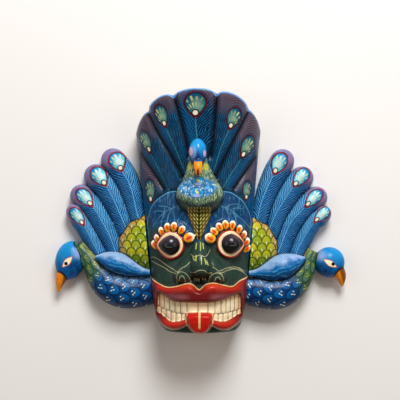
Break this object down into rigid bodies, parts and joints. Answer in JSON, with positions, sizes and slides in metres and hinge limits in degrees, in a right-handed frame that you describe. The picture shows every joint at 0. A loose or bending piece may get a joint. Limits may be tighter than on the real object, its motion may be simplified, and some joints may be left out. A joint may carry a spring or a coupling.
{
  "type": "sri lankan raksha mask",
  "caption": "Carved wooden demon mask with a toothed grin, a tall peacock-feather crown, a bird on its forehead and a peacock at each side.",
  "frame": {"origin": "middle of the back, on the flat plane that the mask lies on", "axes": "+X to the viewer's right across the two side birds, +Y to the top of the crown, +Z the way the face looks"},
  "size_m": [0.3734, 0.3011, 0.1066],
  "materials": {
    "painted_wood": "hand-painted and varnished light wood, bare at the back",
    "peacock_blue": "hand-painted and varnished light wood, bare at the back"
  },
  "bodies": {
    "root": {"face_and_crown": "painted_wood", "left_peacock": "peacock_blue", "right_peacock": "peacock_blue"}
  },
  "joints": []
}
